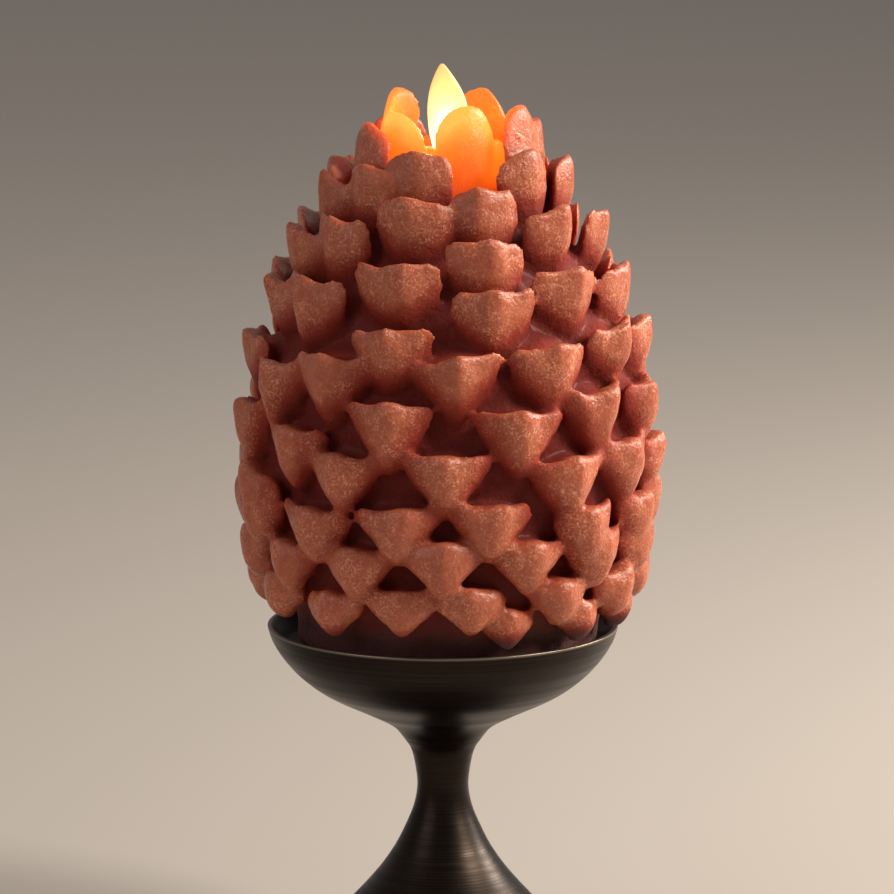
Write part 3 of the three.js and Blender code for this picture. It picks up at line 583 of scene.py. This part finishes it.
def ledge_points(azimuth, tip_height):
    """Rings of points of the wax behind a lip, which slopes up and inwards to the wall."""
    shape = station(tip_height)
    angle = math.radians(azimuth)
    out = np.array([math.sin(angle), -math.cos(angle), 0])
    side = np.array([math.cos(angle), math.sin(angle), 0])
    up = np.array([0, 0, 1.0])
    t = np.linspace(0, 1, LEDGE_RINGS)[:, None]
    psi = np.linspace(0, 2 * math.pi, LEDGE_AROUND, endpoint=False)[None, :]
    u = np.sign(np.cos(psi)) * np.abs(np.cos(psi)) ** 0.8
    w = np.sin(psi)
    inward = -3.2 - 12 * t
    half_width = shape["width"] / 2 * (0.7 - 0.1 * t) * (1 - 0.45 * np.clip(-w, 0, 1))
    height = -3.4 + 6.5 * t ** 0.8 - 2.2 * u ** 2 + np.where(w > 0, 1.0 * w, 6 * w)
    tip = out * shape["radius"] + up * (RIM + tip_height)
    inward = inward - 0.5 * shape["cup"] * u ** 2 * (1 - t)
    points = inward[..., None] * out + (u * half_width)[..., None] * side + height[..., None] * up
    return (tip + points).reshape(-1, 3)


def core_profile():
    """Closed outline of the plain wax with the hollow for the liner and the well for the flame."""
    plate_top = DISH_FLOOR + 4.6  # of the liner's base plate
    cap_top = CAP_HIGH.z / MM
    outer = [(43.0, WAX_BOTTOM), (43.5, WAX_BOTTOM + 1)] + [(r, RIM + z) for z, r in CORE]
    well = [(14.5, RIM + 141.5), (12.9, RIM + 140.5), (12.7, cap_top + 0.6)]
    hollow = [(13.6, cap_top + 0.3), (13.6, 212.4), (26.4, 190.4), (26.4, plate_top + 3),
              (37.4, plate_top + 2.6), (37.4, plate_top + 0.2), (39.9, plate_top), (39.9, WAX_BOTTOM)]
    return outer + well + hollow


def all_scales():
    """Every scale's azimuth, tip height, shift outwards and widening."""
    for height, per_turn, first, present, uneven in ROWS:
        for k in range(present):
            if k < len(uneven):
                given = uneven[k]
            elif uneven:  # eases from the last listed one round the back to the first
                eased = (k - len(uneven) + 1) / (per_turn - len(uneven) + 1)
                given = tuple(a + (b - a) * eased for a, b in zip(uneven[-1][:2], uneven[0][:2]))
            else:
                given = ()
            shift, lift, outward, wider = (*given, *(0, 0, 0, 1)[len(given):])
            yield first + 360 * k / per_turn + shift, height + lift, outward, wider


def tip_radius(height):
    """Radius that the lips of the scales reach at a height above the rim."""
    return np.interp(height, STATIONS["height"], STATIONS["radius"])


def glow_at(points):
    """How strongly the lamp shines through the wax: only in the crown round the flame, less behind it."""
    near = np.clip((27 - axis_distance(points)) / 8, 0, 1)
    high = np.clip((points[:, 2] - RIM - 110) / 38, 0, 1)
    return near * high * (1 - 0.35 * np.clip(points[:, 1] / 10, 0, 1))


def axis_distance(points):
    return np.hypot(points[:, 0] - AXIS_X, points[:, 1])


def make_wax(materials):
    """Casts the scales and the core into one skin, then softens, fillets, dents and paints it."""
    random = np.random.default_rng(7)
    verts, faces = [], []
    first = 0
    for azimuth, height, outward, wider in all_scales():
        lofts = [(scale_points(azimuth, height, outward, wider, random), SCALE_RINGS, SCALE_AROUND)]
        if height < LEDGED_BELOW:
            lofts.append((ledge_points(azimuth, height), LEDGE_RINGS, LEDGE_AROUND))
        for points, rings, around in lofts:
            verts.append(points)
            faces += [tuple(first + i for i in face) for face in loft_faces(rings, around)]
            first += rings * around
    points = np.concatenate(verts) + (AXIS_X, 0, 0)
    scales = new_object("wax_scales", points * MM, faces)
    core = turned("wax_core", core_profile(), 96, (AXIS_X, 0))
    wax = join("wax_cast", [core, scales])

    remesh = wax.modifiers.new("cast", "REMESH")
    remesh.mode = "VOXEL"
    remesh.voxel_size = CAST_GRID * MM
    remesh.use_smooth_shade = True
    soften = wax.modifiers.new("soften", "SMOOTH")
    soften.factor = 0.5
    soften.iterations = 4
    apply_modifiers(wax)
    fillet_valleys(wax)
    roughen(wax)
    triangles = 2 * len(wax.data.polygons)
    if triangles > MOST_TRIANGLES:
        thin = wax.modifiers.new("thin", "DECIMATE")
        thin.ratio = MOST_TRIANGLES / triangles
        apply_modifiers(wax)
    paint_wax(wax)
    wax.data.polygons.foreach_set("use_smooth", [True] * len(wax.data.polygons))
    wax.data.materials.clear()
    wax.data.materials.append(materials["wax"])
    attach(wax, "candle")
    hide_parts("wax_cone", "wax_crown")


def vertex_places(obj):
    """The mesh's vertices in millimetres."""
    flat = np.empty(len(obj.data.vertices) * 3, np.float32)
    obj.data.vertices.foreach_get("co", flat)
    return flat.reshape(-1, 3) / MM


def valley_depth(points):
    """0 on the lips of the scales, 1 at the bottom of the valleys and on the plain skirt."""
    height = points[:, 2] - RIM
    lip_above = height + 8 * np.clip((height - 65) / 30, 0, 1)  # the cone tapers in from 65 mm up
    below_lips = tip_radius(lip_above) - axis_distance(points)
    hollow = np.clip((below_lips - 1.2) / 7, 0, 1)
    return np.maximum(hollow, np.clip((9 - height) / 6, 0, 1))


def fillet_valleys(wax):
    """Rounds the valleys between the scales, as cast wax has them, and leaves the lips crisp."""
    depth = valley_depth(vertex_places(wax))
    group = wax.vertex_groups.new(name="valley")
    for level in range(1, 11):  # the group's weights, in tenths
        chosen = np.nonzero((depth > (level - 0.5) / 10) & (depth <= (level + 0.5) / 10))[0]
        group.add(chosen.tolist(), level / 10, "REPLACE")
    fillet = wax.modifiers.new("fillet", "SMOOTH")
    fillet.factor = 0.6
    fillet.iterations = 10
    fillet.vertex_group = "valley"
    apply_modifiers(wax)
    wax.vertex_groups.clear()


def roughen(wax):
    """Gives the cast surface the slight dents and swellings of hand-poured wax."""
    points = vertex_places(wax)
    normals = np.empty(len(points) * 3, np.float32)
    wax.data.vertices.foreach_get("normal", normals)
    swell = np.array([0.55 * noise.noise(Vector(p) / 9) + 0.22 * noise.noise(Vector(p) / 3.5)
                      for p in points])
    inside = axis_distance(points) < 42
    swell[inside & (points[:, 2] < RIM + 2)] = 0  # the mouth of the hollow keeps its fit
    moved = points + normals.reshape(-1, 3) * swell[:, None]
    wax.data.vertices.foreach_set("co", (moved * MM).astype(np.float32).ravel())
    wax.data.update()


def paint_wax(wax):
    """Stores how deep in a valley and how near the flame each vertex is, for the wax material."""
    points = vertex_places(wax)
    for name, values in (("hollow", valley_depth(points)), ("glow", glow_at(points))):
        layer = wax.data.attributes.new(name, "FLOAT", "POINT")
        layer.data.foreach_set("value", values.astype(np.float32))


def join(name, objects):
    """One mesh object from several, which are removed."""
    joined = bmesh.new()
    for obj in objects:
        joined.from_mesh(obj.data)
    mesh = bpy.data.meshes.new(name)
    bmesh.ops.recalc_face_normals(joined, faces=joined.faces)
    joined.to_mesh(mesh)
    joined.free()
    for obj in objects:
        bpy.data.objects.remove(obj)
    made = bpy.data.objects.new(name, mesh)
    bpy.context.scene.collection.objects.link(made)
    return made


# ---------------------------------------------------------------- flame

def make_flame(materials):
    """Leaf outline swept as a pillowed teardrop above the cap and a flat tail below it."""
    tail_bottom = LEAF_LOW.z / MM
    shape = [  # height below the tip, half width, sideways set of the middle, half thickness
        (48, 2.4, 0, 0.6), (33, 2.4, 0, 0.6), (29, 3.0, 0, 0.75), (25, 4.2, 0, 1.0), (20, 5.4, 0, 1.3),
        (15, 5.9, 0, 1.5), (11, 5.5, -0.3, 1.4), (7, 4.3, -0.8, 1.2), (3.5, 2.6, -1.3, 0.9),
        (1.2, 1.2, -1.6, 0.55), (0.25, 0.45, -1.7, 0.3),
    ]
    smooth = spline(shape, 6)
    around = 32
    verts = []
    for drop, half, shift, thick in smooth:
        for i in range(around):
            a = 2 * math.pi * i / around
            x = AXIS_X + shift + half * math.copysign(abs(math.cos(a)) ** 0.9, math.cos(a))
            y = thick * math.copysign(abs(math.sin(a)) ** 0.9, math.sin(a))
            verts.append((x * MM, y * MM, max(LEAF_TOP - drop, tail_bottom) * MM))
    leaf = new_object("flame_leaf_moulded", verts, loft_faces(len(smooth), around))
    leaf.data.materials.append(materials["flame"])
    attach(leaf, "flame_leaf")
    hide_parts("flame")


# ---------------------------------------------------------------- stage, light and camera

CAMERA_TARGET = Vector((1.2, 0, 152)) * MM
CAMERA_DISTANCE = 2.3
CAMERA_ELEVATION = math.radians(10.3)
CAMERA_LENS = 320  # with a 36 mm sensor


def make_camera():
    data = bpy.data.cameras.new("camera")
    data.lens = CAMERA_LENS
    data.sensor_width = 36
    data.clip_end = 100
    camera = bpy.data.objects.new("camera", data)
    back = Vector((0, -math.cos(CAMERA_ELEVATION), math.sin(CAMERA_ELEVATION)))
    camera.location = CAMERA_TARGET + back * CAMERA_DISTANCE
    camera.rotation_euler = (-back).to_track_quat("-Z", "Y").to_euler()
    bpy.context.scene.collection.objects.link(camera)
    bpy.context.scene.camera = camera


def area_light(name, azimuth, elevation, distance, size, power, colour):
    data = bpy.data.lights.new(name, "AREA")
    data.shape = "DISK"
    data.size = size
    data.energy = power
    data.color = colour
    light = bpy.data.objects.new(name, data)
    a, e = math.radians(azimuth), math.radians(elevation)
    direction = Vector((math.sin(a) * math.cos(e), -math.cos(a) * math.cos(e), math.sin(e)))
    light.location = CAMERA_TARGET + direction * distance
    light.rotation_euler = (-direction).to_track_quat("-Z", "Y").to_euler()
    bpy.context.scene.collection.objects.link(light)


def make_stage():
    world = bpy.data.worlds.new("studio")
    world.use_nodes = True
    background = world.node_tree.nodes["Background"]
    background.inputs["Color"].default_value = (0.60, 0.57, 0.56, 1)
    background.inputs["Strength"].default_value = 0.42
    bpy.context.scene.world = world

    side = 20.0
    floor = new_object("floor", [(-side, -side, 0), (side, -side, 0), (side, side, 0), (-side, side, 0)],
                       [(0, 1, 2, 3)], smooth=False)
    n = Nodes("floor")
    n.set(Base_Color=(0.50, 0.45, 0.40, 1), Roughness=0.8)
    floor.data.materials.append(n.material)

    area_light("key", 70, 35, 1.2, 0.35, 11, (1.0, 0.93, 0.84))
    area_light("sparkle", 82, 30, 1.2, 0.07, 3.5, (1.0, 0.86, 0.68))
    area_light("rim", 115, 22, 1.2, 0.4, 14, (1.0, 0.93, 0.84))
    area_light("fill", -55, 25, 1.5, 0.9, 3.5, (1.0, 0.95, 0.92))


def make_flame_light():
    data = bpy.data.lights.new("flame_glow", "POINT")
    data.energy = 0.035
    data.color = (1.0, 0.55, 0.18)
    data.shadow_soft_size = 0.004
    light = bpy.data.objects.new("flame_glow", data)
    light.location = Vector((AXIS_X, -4, RIM + 147)) * MM
    bpy.context.scene.collection.objects.link(light)


bpy.context.scene.view_settings.view_transform = "Standard"
make_camera()
make_stage()
make_flame_light()
MATERIALS = make_materials()
dress_cad_nodes(MATERIALS)
make_dish(MATERIALS)
make_pedestal(MATERIALS)
make_pad(MATERIALS)
make_wax(MATERIALS)
make_flame(MATERIALS)
